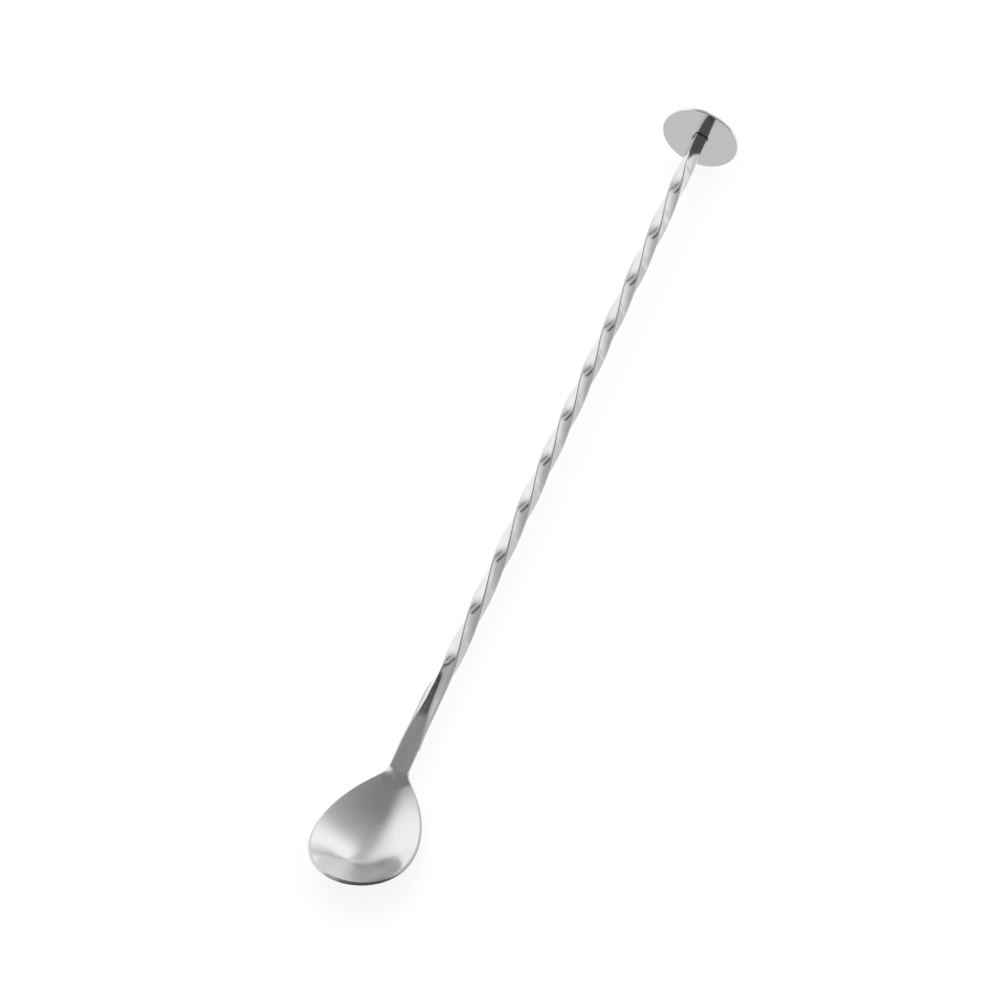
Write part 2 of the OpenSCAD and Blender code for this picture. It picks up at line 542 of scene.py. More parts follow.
FOOT_WELD = WeldFinish(
    name="foot_weld_steel",
    slot="weld_steel",
    low=(0.02, 0.02, 0.021),
    high=(0.3, 0.3, 0.302),
    rough=0.2,
)


# Meshes


def new_mesh(name: str, bm: bmesh.types.BMesh, material: bpy.types.Material) -> bpy.types.Mesh:
    """Make mesh data of one material.

    Args:
        name: Name of the data.
        bm: The mesh. It is freed.
        material: The material.

    Returns:
        The new data.
    """
    data = bpy.data.meshes.new(name)
    bm.to_mesh(data)
    bm.free()
    data.materials.append(material)
    return data


def new_object(name: str, data: bpy.types.ID) -> bpy.types.Object:
    """Make an object and link it to the scene.

    Args:
        name: Name of the object.
        data: Its mesh, lamp or camera.

    Returns:
        The new object.
    """
    piece = bpy.data.objects.new(name, data)
    bpy.context.collection.objects.link(piece)
    return piece


class Bench:
    """The table: carries a mesh from the rod's axis in millimetres to its place in metres."""

    def __init__(self, axis: Sequence[float], disc_box: Sequence[Vector], plate: float) -> None:
        """Find the rod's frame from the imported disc.

        Args:
            axis: The rod's direction on the table, from bowl to disc.
            disc_box: Lowest and highest corner of the disc's node, in metres.
            plate: Distance of the disc's middle plane from its inner face, in millimetres.
        """
        along = Vector(axis).normalized()
        across = Vector((0.0, 1.0, 0.0))
        above = along.cross(across)
        middle = (Vector(disc_box[0]) + Vector(disc_box[1])) / 2.0
        turn = Matrix((along, across, above)).transposed().to_4x4()
        start = middle - along * plate * MM
        self.matrix = Matrix.Translation(start) @ turn @ Matrix.Scale(MM, 4)

    def seat(self, bm: bmesh.types.BMesh) -> None:
        """Move a whole mesh to its place on the table."""
        bmesh.ops.transform(bm, matrix=self.matrix, verts=bm.verts[:])


def make_piece(
    name: str,
    bm: bmesh.types.BMesh,
    bench: Bench,
    node: str,
    finish: Finish,
    sharp: float = 40.0,
) -> bpy.types.Object:
    """Seat a mesh on the table, shade it and put it in place of its node.

    Args:
        name: Name of the piece.
        bm: The mesh in millimetres. It is freed.
        bench: The table.
        node: The CAD node that the piece stands for.
        finish: The piece's finish.
        sharp: Angle in degrees above which an edge is shaded as a corner.

    Returns:
        The new object.
    """
    bench.seat(bm)
    for face in bm.faces:
        face.smooth = True
    for edge in bm.edges:
        if len(edge.link_faces) == 2:
            edge.smooth = edge.calc_face_angle() < math.radians(sharp)
    piece = new_object(name, new_mesh(name, bm, finish.material()))
    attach(piece, "root")
    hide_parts(node)
    log.info("%s: %d faces in place of %s", name, len(piece.data.polygons), node)
    return piece


def only(geom: Sequence[Any], kind: type) -> List[Any]:
    """Elements of one kind among an operator's results."""
    return [e for e in geom if isinstance(e, kind)]


def bevel(bm: bmesh.types.BMesh, geom: List[Any], offset: float, segments: int, affect: str) -> None:
    """Round corners or edges of a mesh.

    Args:
        bm: The mesh.
        geom: The vertices or edges to round.
        offset: Distance from them at which the rounding starts.
        segments: Steps of the rounding.
        affect: What is rounded, "VERTICES" or "EDGES".
    """
    bmesh.ops.bevel(
        bm,
        geom=geom,
        offset=offset,
        offset_type="OFFSET",
        segments=segments,
        profile=0.5,
        affect=affect,
        material=-1,
    )


def sweep(bm: bmesh.types.BMesh, edges: List[bmesh.types.BMEdge], steps: int) -> List[bmesh.types.BMEdge]:
    """Draw a ring of edges along -x, one unit to a step, so that -x numbers the rings.

    Args:
        bm: The mesh.
        edges: The ring at x = 0.
        steps: Count of steps.

    Returns:
        The last ring's edges.
    """
    made = bmesh.ops.spin(
        bm,
        geom=edges,
        cent=(0.0, 0.0, 0.0),
        axis=(1.0, 0.0, 0.0),
        dvec=(-1.0, 0.0, 0.0),
        angle=0.0,
        steps=steps,
    )
    return only(made["geom_last"], bmesh.types.BMEdge)


def ring_number(vert: bmesh.types.BMVert) -> int:
    """Number of the ring that a swept vertex belongs to."""
    return int(round(-vert.co.x))


@dataclass
class TwistedRod:
    """Square bar, twisted to the left, with a forged flat neck, a spigot and a lap for the tang.

    Lengths are millimetres, angles degrees, and places along the rod distances from the disc.
    """

    # Square bar and its uneven twist
    bar_w: float = 3.7
    bar_r: float = 0.5
    straight_l: float = 9.0
    twist_ease: float = 6.0
    twist_l: float = 212.6
    twist_a: float = 1055.0
    waver_a: float = 6.0
    waver_l: float = 137.0
    waver_start: float = 57.0
    hold: float = 212.0
    hold_soft: float = 1.5

    # Flat neck, and the flare of the bar before it
    neck_w: float = 5.5
    neck_t: float = 1.7
    neck_r: float = 0.3
    neck_l: float = 18.4
    neck_rise: float = -0.35
    neck_shift: float = 0.7
    neck_slope: float = 0.06
    bowl_side: float = 0.5
    flare: float = 1.13
    flare_start: float = 203.0
    flare_l: float = 12.0

    # Press that flattens the bar, from above, from below and to the neck's section
    press_start: float = 207.0
    press_knee: float = 226.0
    press_lead: float = 0.06
    press_slope: float = 0.028
    under_start: float = 225.0
    under_slope: float = 0.11
    press_soft: float = 1.0
    press_round: float = 0.25
    blank_start: float = 216.0
    blank_l: float = 15.0
    blank_power: float = 10.0

    # Satin neck, which starts sooner on the bar's sides, and painted dark reflection lines along the
    # twist's corners
    satin_start: float = 221.0
    satin_side: float = 208.0
    satin_l: float = 4.0
    side_start: float = 0.6
    side_l: float = 0.2
    painted_ridge_start: float = 0.5
    painted_ridge_l: float = 0.4

    # Spigot through the disc, and lap over the bowl's tang
    spigot_d: float = 2.6
    spigot_l: float = 1.1
    spigot_edge: float = 0.12
    lap_l: float = 8.0
    lap_step: float = 0.01
    sheet_t: float = 1.05
    gap: float = 0.03

    # Mesh
    ring_step: float = 0.6
    press_step: float = 0.2
    corner_steps: int = 8
    flat_steps: int = 20

    @property
    def twist_end(self) -> float:
        """Place where the twist ends."""
        return self.straight_l + self.twist_l

    @property
    def root_a(self) -> float:
        """Place of the neck's end."""
        return self.twist_end + self.neck_l

    @property
    def root_z(self) -> float:
        """Height of the tang's upper face."""
        return self.neck_rise - self.neck_t / 2.0 + self.sheet_t

    @property
    def lap_a(self) -> float:
        """Place where the lap over the tang starts."""
        return self.root_a - self.lap_l - self.gap

    @property
    def core(self) -> float:
        """Half of the bar's flat between its rounded corners."""
        return self.bar_w / 2.0 - self.bar_r

    def waver(self, a: float) -> float:
        """Unevenness of the twist at a place."""
        return self.waver_a * math.sin(math.radians(360.0 * a / self.waver_l + self.waver_start))

    def twist_run(self, a: float) -> float:
        """Length of even twist that brings the bar's turn at a place.

        Args:
            a: Distance from the disc.

        Returns:
            The length, which eases in from the straight foot.
        """
        s = max(-1.0, (a - self.straight_l) / self.twist_ease)
        if s >= 1.0:
            return a - self.straight_l
        return self.twist_ease * (s + 1.0) ** 2 / 4.0

    def turn(self, a: float) -> float:
        """Angle of the bar's section at a place, held where the press took over from the twist.

        Args:
            a: Distance from the disc.

        Returns:
            The angle in degrees.
        """
        held = self.hold - soft_step(self.hold - a, self.hold_soft)
        t = min(1.0, self.twist_run(held) / self.twist_l)
        ends = mix(self.waver(self.straight_l), self.waver(self.twist_end), t)
        return self.waver(self.straight_l + t * self.twist_l) - ends - self.twist_a * (1.0 - t)

    def flared(self, a: float) -> float:
        """Share of the neck's flare that is reached at a place."""
        return ramp((a - self.flare_start) / self.flare_l)

    def blank(self, a: float) -> float:
        """Share of the way from the pressed square to the neck's flat section at a place."""
        return clamp((a - self.blank_start) / self.blank_l)

    def press(self, a: float) -> Pair:
        """Reach of the press that flattens the bar into the neck.

        Args:
            a: Distance from the disc.

        Returns:
            Distances above and below the axis.
        """
        top = self.neck_rise + self.neck_t / 2.0 + self.neck_slope * (self.root_a - a)
        top -= (self.neck_slope - self.press_slope) * soft_step(self.press_knee - a, self.press_soft)
        top += self.press_lead * soft_step(self.press_start - a, self.press_soft)
        under = self.under_slope * soft_step(self.under_start - a, self.press_soft)
        return top, self.neck_t / 2.0 - self.neck_rise + under

    def section_point(self, a: float, y: float, z: float) -> Point:
        """Carry a point of the bar's section to a place along the rod.

        Args:
            a: Distance from the disc.
            y: First coordinate in the bar's own section.
            z: Second coordinate in the bar's own section.

        Returns:
            The point on the rod's axis.
        """
        sy, sz = turned(y, z, math.radians(self.turn(a)))
        top, bottom = self.press(a)
        limit = top if sz > 0.0 else bottom
        near = max(0.0, 1.0 - abs(abs(sz) - limit) / self.press_round)
        flat = math.copysign(min(abs(sz), limit) - near * near * self.press_round / 4.0, sz)
        n = self.blank_power
        t = abs(sy) / (abs(sy) + abs(sz))
        size = (t ** n + (1.0 - t) ** n) ** (1.0 / n)
        wide = math.copysign(self.neck_w / 2.0 * t / size, sy)
        high = math.copysign(limit * (1.0 - t) / size, sz)
        f = self.flared(a)
        side = f * mix(self.neck_shift, self.bowl_side, ramp((a - self.twist_end) / self.neck_l))
        share = self.blank(a)
        py = side + mix(sy * mix(1.0, self.flare, f), wide, share)
        return (-a, py, mix(flat, high, share))

    def ring(self, bm: bmesh.types.BMesh) -> List[bmesh.types.BMEdge]:
        """Draw the bar's round-cornered section at x = 0.

        Args:
            bm: An empty mesh.

        Returns:
            The ring's edges.
        """
        upright = Matrix.Rotation(math.radians(90.0), 4, "Y")
        bmesh.ops.create_grid(bm, x_segments=1, y_segments=1, size=self.bar_w / 2.0, matrix=upright)
        bevel(bm, bm.verts[:], self.bar_r, self.corner_steps, "VERTICES")
        bmesh.ops.delete(bm, geom=bm.faces[:], context="FACES_ONLY")
        flats = [e for e in bm.edges if e.calc_length() > self.bar_w / 2.0]
        bmesh.ops.subdivide_edges(bm, edges=flats, cuts=self.flat_steps - 1)
        return bm.edges[:]

    def stations(self) -> List[float]:
        """Choose the places of the rings, close together at the lap's step.

        Returns:
            The places, from the disc to the neck's end.
        """
        lap = (self.lap_a - self.lap_step, self.lap_a + self.lap_step)
        fixed = [0.0, self.straight_l, self.flare_start, *lap, self.root_a]
        places = []
        for start, end in zip(fixed, fixed[1:]):
            step = self.press_step if start >= self.flare_start else self.ring_step
            count = max(1, int(math.ceil((end - start) / step)))
            places += [mix(start, end, i / count) for i in range(count)]
        return places + [self.root_a]

    def around(self, bm: bmesh.types.BMesh) -> None:
        """Mark each vertex of the ring with its share of the way round and its place on a corner, where a
        painted dark reflection line goes.

        Args:
            bm: The mesh, with its first ring alone.
        """
        share = bm.verts.layers.float.new("around")
        painted_ridge_shade = bm.verts.layers.float.new("painted_ridge_shade")
        for vert in bm.verts:
            vert[share] = (math.atan2(vert.co.z, vert.co.y) / math.tau) % 1.0
            out = min(abs(vert.co.y), abs(vert.co.z)) - self.core
            vert[painted_ridge_shade] = ramp((out * math.sqrt(2.0) / self.bar_r - self.painted_ridge_start) / self.painted_ridge_l)

    def unwrap(self, bm: bmesh.types.BMesh) -> None:
        """Lay a UV map along and round the bar, so that lines follow the twist.

        Args:
            bm: The finished mesh.
        """
        share = bm.verts.layers.float["around"]
        uv = bm.loops.layers.uv.new("UVMap")
        for face in bm.faces:
            turns = [loop.vert[share] for loop in face.loops]
            wraps = max(turns) - min(turns) > 0.5
            for loop, part in zip(face.loops, turns):
                lift = 1.0 if wraps and part < 0.5 else 0.0
                loop[uv].uv = (-loop.vert.co.x / self.root_a, part + lift)

    def spigot(self, bm: bmesh.types.BMesh, ring: List[bmesh.types.BMEdge]) -> None:
        """Turn the bar's end down to the spigot that goes through the disc.

        Args:
            bm: The mesh.
            ring: Edges of the bar's end.
        """
        wide = self.spigot_d / 2.0
        eased = self.spigot_l - self.spigot_edge
        for x, radius in ((0.0, wide), (eased, wide), (self.spigot_l, wide - self.spigot_edge)):
            made = bmesh.ops.extrude_edge_only(bm, edges=ring)["geom"]
            ring = only(made, bmesh.types.BMEdge)
            for vert in only(made, bmesh.types.BMVert):
                out = Vector((0.0, vert.co.y, vert.co.z)).normalized() * radius
                vert.co = (x, out.y, out.z)
        bmesh.ops.edgeloop_fill(bm, edges=ring)

    def build(self, bench: Bench) -> bpy.types.Object:
        """Make the rod and put it on the table.

        Args:
            bench: The table.

        Returns:
            The rod.
        """
        bm = bmesh.new()
        first = self.ring(bm)
        self.around(bm)
        places = self.stations()
        last = sweep(bm, first, len(places) - 1)
        floor = self.root_z + self.gap
        satin = bm.verts.layers.float.new("satin")
        painted_ridge_shade = bm.verts.layers.float["painted_ridge_shade"]
        for vert in bm.verts:
            a = places[ring_number(vert)]
            # The painted dark reflection line on the corners fades in with the twist and out at the flare.
            vert[painted_ridge_shade] *= ramp((a - self.straight_l) / self.twist_ease) * (1.0 - self.flared(a))
            x, y, z = self.section_point(a, vert.co.y, vert.co.z)
            vert.co = (x, y, max(z, floor) if a > self.lap_a else z)
            aside = ramp((abs(y) / (abs(y) + abs(z)) - self.side_start) / self.side_l)
            start = mix(self.satin_start, self.satin_side, aside)
            vert[satin] = ramp((a - start) / self.satin_l)
        self.spigot(bm, first)
        bmesh.ops.edgeloop_fill(bm, edges=last)
        bmesh.ops.recalc_face_normals(bm, faces=bm.faces[:])
        self.unwrap(bm)
        return make_piece("twisted_bar", bm, bench, "twisted_rod", ROD_STEEL)


@dataclass
class SpoonBowl:
    """Pressed sheet bowl, egg-shaped, with a tang that laps under the rod's neck.

    Lengths are millimetres. Places along the bowl are distances from its root to its tip.
    """

    rod: TwistedRod

    # Outline, depth and edge line
    bowl_l: float = 41.4
    bowl_w: float = 27.4
    widest_l: float = 16.6
    bowl_depth: float = 5.7
    rim_ease: float = 0.3
    root_power: float = 1.46
    side_fill: float = 0.2
    shoulder_power: float = 0.79
    fillet_power: float = 3.0
    root_more: float = 0.15
    tip_rise: float = 6.9
    rim_sag: float = 3.0
    tang_w: float = 4.2

    # Sheet's rounded edges, and how much thinner it is than the solid
    rim_round: float = 0.25
    under_round: float = 0.12
    round_steps: int = 4
    sharp_a: float = 55.0
    under_lean: float = -0.2
    slack: float = 0.006

    # Rim edge, rougher and darkened by painted shade, as shares of the way out to it, and worn patch on the
    # bottom
    edge_start: float = 0.992
    edge_l: float = 0.008
    edge_root: float = 1.0
    worn_b: float = 21.0
    worn_r: float = 10.0

    # Mesh
    shoulder_rows: int = 56
    shoulder_bias: float = 1.4
    tip_rows: int = 44
    columns: int = 72

    @property
    def wide_b(self) -> float:
        """Place of the widest section."""
        return self.bowl_l - self.widest_l

    def rim_z(self, b: float) -> float:
        """Height of the edge line at a place."""
        t = b / self.bowl_l
        return self.rod.root_z + self.tip_rise * t - 4.0 * self.rim_sag * t * (1.0 - t)

    def shoulder(self, b: float) -> float:
        """Share of the full width that is reached at a place before the widest one."""
        return max(0.0, 1.0 - ((self.wide_b - b) / self.wide_b) ** 2) ** self.shoulder_power

    def half_width(self, b: float) -> float:
        """Half of the width between the inner edges.

        Args:
            b: Distance from the root.

        Returns:
            The half width.
        """
        if b >= self.wide_b:
            return self.bowl_w / 2.0 * math.sqrt(max(0.0, 1.0 - ((b - self.wide_b) / self.widest_l) ** 2))
        side = self.bowl_w / 2.0 * self.shoulder(b)
        neck = (self.rod.neck_w / 2.0 + self.root_more) * (1.0 - ramp(b / self.wide_b))
        return (side ** self.fillet_power + neck ** self.fillet_power) ** (1.0 / self.fillet_power)

    def depth_share(self, b: float, y: float) -> float:
        """Share of the full depth at a place.

        Args:
            b: Distance from the root.
            y: Distance from the bowl's middle.

        Returns:
            0 along the edge and 1 at the deepest place.
        """
        deep = self.bowl_l * self.root_power / (self.root_power + 1.0)
        floor = (max(0.0, b) / deep) ** self.root_power * max(0.0, self.bowl_l - b) / (self.bowl_l - deep)
        q = min(1.0, (y / max(TINY, self.half_width(b))) ** 2)
        return floor * (1.0 - q * (1.0 + self.side_fill * (1.0 - q)))

    def inner_z(self, b: float, y: float) -> float:
        """Height of the bowl's inside."""
        s = self.depth_share(b, y)
        return self.rim_z(b) - self.bowl_depth * s * (1.0 - self.rim_ease * (1.0 - s))

    def rows(self) -> List[float]:
        """Choose the places of the rows from the tang's end to the widest section.

        Returns:
            The places, below 0 on the tang.
        """
        tang = [-self.rod.lap_l, -self.rod.lap_l / 2.0, -self.rod.neck_r]
        n = self.shoulder_rows
        return tang + [self.wide_b * (i / n) ** self.shoulder_bias for i in range(n + 1)]

    def inner_point(self, row: int, share: float, rows: List[float]) -> Point:
        """Point of the inside.

        Args:
            row: Number of the row, counted past the list's end toward the tip.
            share: Place across the row, from -1 to 1.
            rows: Places of the rows up to the widest section.

        Returns:
            The point on the rod's axis.
        """
        root = self.rod.root_a
        side = self.rod.bowl_side
        if row < len(rows):
            b = rows[row]
            if b < 0.0:
                return (-root - b, side + share * self.tang_w / 2.0, self.rod.root_z)
            y = share * self.half_width(b)
        else:
            t = (row - len(rows) + 1) / self.tip_rows
            b = self.wide_b + self.widest_l * t * math.sqrt(1.0 - share * share / 2.0)
            y = self.bowl_w / 2.0 * share * math.sqrt(1.0 - t * t / 2.0)
        return (-root - b, side + y, self.inner_z(b, y))

    def outward(self, b: float, y: float) -> float:
        """Share of the way from the bowl's middle to its inner edge.

        Args:
            b: Distance from the root.
            y: Distance from the bowl's middle.

        Returns:
            The share, over 1 on the edge itself and 0 by the root.
        """
        if b > self.wide_b:
            return math.hypot((b - self.wide_b) / self.widest_l, 2.0 * y / self.bowl_w)
        return abs(y) / self.half_width(b) if b > self.edge_root else 0.0

    def rim_edges(self, bm: bmesh.types.BMesh, under: bool) -> List[bmesh.types.BMEdge]:
        """Find the sharp edges of the sheet.

        Args:
            bm: The bowl's mesh.
            under: Whether to give the edges of the underside or the others.

        Returns:
            The edges.
        """
        bm.normal_update()
        limit = math.radians(self.sharp_a)
        sharp = [e for e in bm.edges if len(e.link_faces) == 2 and e.calc_face_angle() > limit]
        return [e for e in sharp if (min(f.normal.z for f in e.link_faces) < self.under_lean) == under]

    def build(self, bench: Bench) -> bpy.types.Object:
        """Make the bowl and put it on the table.

        Args:
            bench: The table.

        Returns:
            The bowl.
        """
        bm = bmesh.new()
        rows = self.rows()
        count = len(rows) - 1 + self.tip_rows
        bmesh.ops.create_grid(bm, x_segments=count, y_segments=self.columns, size=1.0)
        for vert in bm.verts:
            row = int(round((vert.co.x + 1.0) / 2.0 * count))
            vert.co = self.inner_point(row, vert.co.y, rows)
        bmesh.ops.recalc_face_normals(bm, faces=bm.faces[:])
        if sum(face.normal.z for face in bm.faces) < 0.0:
            bmesh.ops.reverse_faces(bm, faces=bm.faces[:])
        bmesh.ops.solidify(bm, geom=bm.faces[:], thickness=self.rod.sheet_t - self.slack)
        for offset, under in ((self.under_round, True), (self.rim_round, False)):
            bevel(bm, self.rim_edges(bm, under), offset, self.round_steps, "EDGES")
        # The edge layer marks the rim for its rougher finish and its painted shade.
        edge = bm.verts.layers.float.new("edge")
        worn = bm.verts.layers.float.new("worn")
        for vert in bm.verts:
            b = -self.rod.root_a - vert.co.x
            y = vert.co.y - self.rod.bowl_side
            vert[edge] = ramp((self.outward(b, y) - self.edge_start) / self.edge_l)
            vert[worn] = 1.0 - ramp(math.hypot(b - self.worn_b, y) / self.worn_r)
        return make_piece("pressed_bowl", bm, bench, "spoon_bowl", BOWL_STEEL)


@dataclass
class NeckWeld:
    """Ground bead that carries the neck's flat on into the bowl and rounds off on the left.

    Lengths are millimetres.
    """

    rod: TwistedRod
    bowl: SpoonBowl

    # Reach of the bead, and its clearances
    length: float = 6.0
    feather: float = 0.008
    gap: float = 0.012
    soft: float = 0.05
    spread: float = 0.5
    margin: float = 0.26
    root_margin: float = 0.12
    margin_l: float = 1.5

    # Line where the flat starts to fall to the left, and its other ends
    line_start: float = 2.5
    line_drop: float = 5.7
    line_run: float = 2.0
    left_power: float = 2.2
    right_fall: float = 0.18
    end_share: float = 0.25
    satin_run: float = 1.2

    # Mesh, and the length over which the bowl's slope is taken
    rows: int = 48
    columns: int = 64
    probe: float = 0.1

    def reach(self, b: float) -> float:
        """Half of the bead's width at a distance from the bowl's root."""
        rim = self.bowl.half_width(b) - mix(self.root_margin, self.margin, ramp(b / self.margin_l))
        return min(rim, self.rod.neck_w / 2.0 + self.spread * b)

    def fall(self, b: float, y: float) -> float:
        """Share by which the bead has fallen from its flat to the bowl, at a place.

        Args:
            b: Distance from the bowl's root.
            y: Distance from the bowl's middle, positive to the left.

        Returns:
            0 on the flat and 1 where the bead has run out.
        """
        half = self.reach(b)
        line = self.line_start - self.line_drop * (1.0 - math.exp(-b / self.line_run))
        left = clamp((y - line) / (half - line)) ** self.left_power
        right = ramp((-y - half + self.right_fall) / self.right_fall)
        return max(left, right)

    def crest(self, t: float) -> float:
        """Height of the bead's flat, which leaves the neck and meets the bowl without a kink.

        Args:
            t: Share of the bead's length from the neck.

        Returns:
            The height.
        """
        run = self.length - self.rod.gap
        high = self.rod.neck_rise + self.rod.neck_t / 2.0 - self.feather
        end = self.bowl.inner_z(self.length, 0.0)
        slope = (end - self.bowl.inner_z(self.length - self.probe, 0.0)) / self.probe
        bend = high * (1.0 - ramp(t)) + (end + self.gap) * ramp(t)
        return bend - run * t * (1.0 - t) * (self.rod.neck_slope * (1.0 - t) + slope * t)

    def build(self, bench: Bench) -> bpy.types.Object:
        """Make the bead and put it on the table.

        Args:
            bench: The table.

        Returns:
            The bead.
        """
        bm = bmesh.new()
        bmesh.ops.create_grid(bm, x_segments=self.rows, y_segments=self.columns, size=1.0)
        lift = bm.verts.layers.float.new("lift")
        satin = bm.verts.layers.float.new("satin")
        for vert in bm.verts:
            t = (vert.co.x + 1.0) / 2.0
            b = mix(self.rod.gap, self.length, t)
            y = vert.co.y * self.reach(b)
            floor = self.bowl.inner_z(b, y) + self.gap
            stays = 1.0 - self.fall(b, y)
            ends = ramp((t - 1.0 + self.end_share) / self.end_share)
            vert[lift] = self.feather + stays * (1.0 - ends) * soft_step(self.crest(t) - floor, self.soft)
            vert[satin] = (1.0 - ramp(t * self.satin_run)) * stays
            vert.co = (-self.rod.root_a - b, self.rod.bowl_side + y, floor)
        made = bmesh.ops.extrude_face_region(bm, geom=bm.faces[:], use_keep_orig=True)["geom"]
        for vert in only(made, bmesh.types.BMVert):
            vert.co.z += vert[lift]
        bmesh.ops.recalc_face_normals(bm, faces=bm.faces[:])
        return make_piece("neck_bead", bm, bench, "neck_weld", NECK_WELD)


@dataclass
class MuddlerDisc:
    """Flat round plate with eased edges, a painted highlight on its rim and a bore for the rod's spigot.

    Lengths are millimetres, and angles degrees.
    """

    rod: TwistedRod
    disc_d: float = 23.19
    disc_t: float = 1.1
    edge: float = 0.25
    edge_steps: int = 4
    segments: int = 180
    sharp: float = 30.0

    def build(self, bench: Bench) -> bpy.types.Object:
        """Make the disc and put it on the table.

        Args:
            bench: The table.

        Returns:
            The disc.
        """
        bm = bmesh.new()
        bore = self.rod.spigot_d / 2.0 + self.rod.gap
        outer = self.disc_d / 2.0
        bmesh.ops.create_grid(bm, x_segments=1, y_segments=1, size=0.5)
        for vert in bm.verts:
            x = mix(self.rod.gap, self.disc_t, vert.co.x + 0.5)
            vert.co = (x, mix(bore, outer, vert.co.y + 0.5), 0.0)
        corners = [v for v in bm.verts if v.co.y > (bore + outer) / 2.0]
        bevel(bm, corners, self.edge, self.edge_steps, "VERTICES")
        bmesh.ops.delete(bm, geom=bm.faces[:], context="FACES_ONLY")
        bmesh.ops.spin(
            bm,
            geom=bm.edges[:],
            cent=(0.0, 0.0, 0.0),
            axis=(1.0, 0.0, 0.0),
            angle=math.tau,
            steps=self.segments,
            use_merge=True,
        )
        # The edge layer carries the rim's painted highlight.
        edge = bm.verts.layers.float.new("edge")
        for vert in bm.verts:
            vert[edge] = 1.0 if math.hypot(vert.co.y, vert.co.z) > outer - self.edge / 2.0 else 0.0
        bmesh.ops.recalc_face_normals(bm, faces=bm.faces[:])
        return make_piece("plate_disc", bm, bench, "muddler_disc", DISC_STEEL, self.sharp)


@dataclass
class DiscWeld:
    """Small uneven bead round the bar's foot on the disc.

    Lengths are millimetres.
    """

    rod: TwistedRod
    width: float = 0.36
    height: float = 0.3
    steps: int = 7

    # Unevenness of the bead away from the bar's side
    even: float = 0.86
    lump: float = 0.3
    lump_scale: float = 1.3
    lump_place: float = 4.0
    root: float = 0.1

    def outline(self) -> List[Pair]:
        """Draw the closed outline of the bead.

        Returns:
            Its points, each a distance from the bar's side and a place along x.
        """
        g = self.rod.gap
        curve = []
        for i in range(self.steps + 1):
            q = math.radians(90.0 * i / self.steps)
            curve.append((g + (self.width - g) * math.sin(q), -g - self.height * math.cos(q)))
        return curve + [(g, -g)]

    def build(self, bench: Bench) -> bpy.types.Object:
        """Make the bead and put it on the table.

        Args:
            bench: The table.

        Returns:
            The bead.
        """
        bm = bmesh.new()
        first = self.rod.ring(bm)
        outline = self.outline()
        last = sweep(bm, first, len(outline) - 1)
        q = math.radians(self.rod.turn(0.0))
        core = self.rod.core
        for vert in bm.verts:
            off, x = outline[ring_number(vert)]
            y, z = vert.co.y, vert.co.z
            cy, cz = clamp(y, -core, core), clamp(z, -core, core)
            spot = Vector((y * self.lump_scale, z * self.lump_scale, self.lump_place))
            swell = noise.noise(spot) * self.lump
            reach = off if off < self.root else off * (self.even + swell)
            out = Vector((y - cy, z - cz)).normalized() * (self.rod.bar_r + reach)
            vert.co = (x, *turned(cy + out.x, cz + out.y, q))
        bmesh.ops.bridge_loops(bm, edges=first + last)
        bmesh.ops.recalc_face_normals(bm, faces=bm.faces[:])
        return make_piece("foot_bead", bm, bench, "disc_weld", FOOT_WELD)


# Studio


def hang(name: str, bm: bmesh.types.BMesh, material: bpy.types.Material, shown: bool) -> None:
    """Put a sheet of the studio in the scene.

    Args:
        name: Name of the sheet.
        bm: Its mesh in metres. It is freed.
        material: Its material.
        shown: Whether it is seen by itself, and not in reflections alone.
    """
    piece = new_object(name, new_mesh(name, bm, material))
    if not shown:
        piece.visible_camera = False
        piece.visible_diffuse = False
        piece.visible_shadow = False


@dataclass(frozen=True)
class Band:
    """Dark band across the tent's roof.

    Attributes:
        at: Place of its middle along x at the lean where the bands have no shift.
        width: Distances from its middle between which it fades in.
        start: Leans between which it begins.
        end: Leans between which it ends.
        dark: Share of the light that it takes.
    """

    at: float
    width: Pair
    start: Pair
    end: Pair
    dark: float

    def share(self, g: Graph, across: Sock, lean: Sock) -> Sock:
        """Share of the light that the band leaves.

        Args:
            g: The tent material's graph.
            across: Place along x, less the slant.
            lean: The lean.

        Returns:
            1 away from the band.
        """
        band = g.step(g.math("ABSOLUTE", across - self.at), *self.width)
        return 1 - self.dark * (band * g.step(lean, *self.start) * g.step(lean, *self.end))


